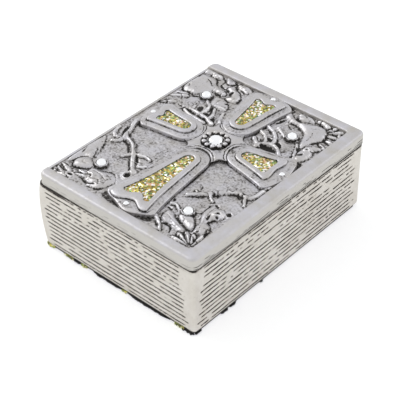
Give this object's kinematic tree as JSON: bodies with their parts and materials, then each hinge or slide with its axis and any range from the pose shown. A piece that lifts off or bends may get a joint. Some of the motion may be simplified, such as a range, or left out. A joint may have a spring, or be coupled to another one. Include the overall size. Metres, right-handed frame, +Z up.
{
  "type": "book-shaped rosary box",
  "caption": "Small cast metal keepsake box shaped like a closed book, with a hinged cover that carries a raised flared cross, glitter inlays, crystals and vines in relief.",
  "frame": {"origin": "centre of the rest face under the box, midway across the cover's width and depth, on the table", "axes": "+Z up, +X towards the page edge that opens, -X towards the hinged spine, +Y towards the head of the cross"},
  "size_m": [0.0797, 0.0982, 0.0378],
  "materials": {
    "cast_metal": "antiqued satin silver plate on cast zinc alloy, dark in the recesses",
    "pin_steel": "drawn steel wire",
    "magnet_nickel": "nickel plated",
    "felt": "black pressed felt",
    "velvet": "black short-pile velvet",
    "glitter_enamel": "clear resin over gold glitter with green, orange and white flecks",
    "crystal_glass": "foil-backed faceted glass"
  },
  "bodies": {
    "base": {"base_body": "cast_metal", "hinge_pin_front": "pin_steel", "hinge_pin_back": "pin_steel", "base_magnet": "magnet_nickel", "base_pad": "felt", "floor_lining": "velvet"},
    "cover_body": {"cover": "cast_metal", "cover_magnet": "magnet_nickel", "cover_lining": "velvet", "inlay_foot": "glitter_enamel", "inlay_head": "glitter_enamel", "inlay_left": "glitter_enamel", "inlay_right": "glitter_enamel", "crystal_centre": "crystal_glass", "crystal_front_left": "crystal_glass", "crystal_front_right": "crystal_glass", "crystal_back_left": "crystal_glass", "crystal_back_right": "crystal_glass", "crystal_arm_foot": "crystal_glass", "crystal_arm_head": "crystal_glass", "crystal_arm_left": "crystal_glass", "crystal_arm_right": "crystal_glass"}
  },
  "joints": [
    {"name": "cover_hinge", "type": "hinge", "parent": "base", "child": "cover_body", "pos_m": [-0.038, 0, 0.03025], "axis": [0, -1, 0], "range_deg": [0, 105]}
  ]
}
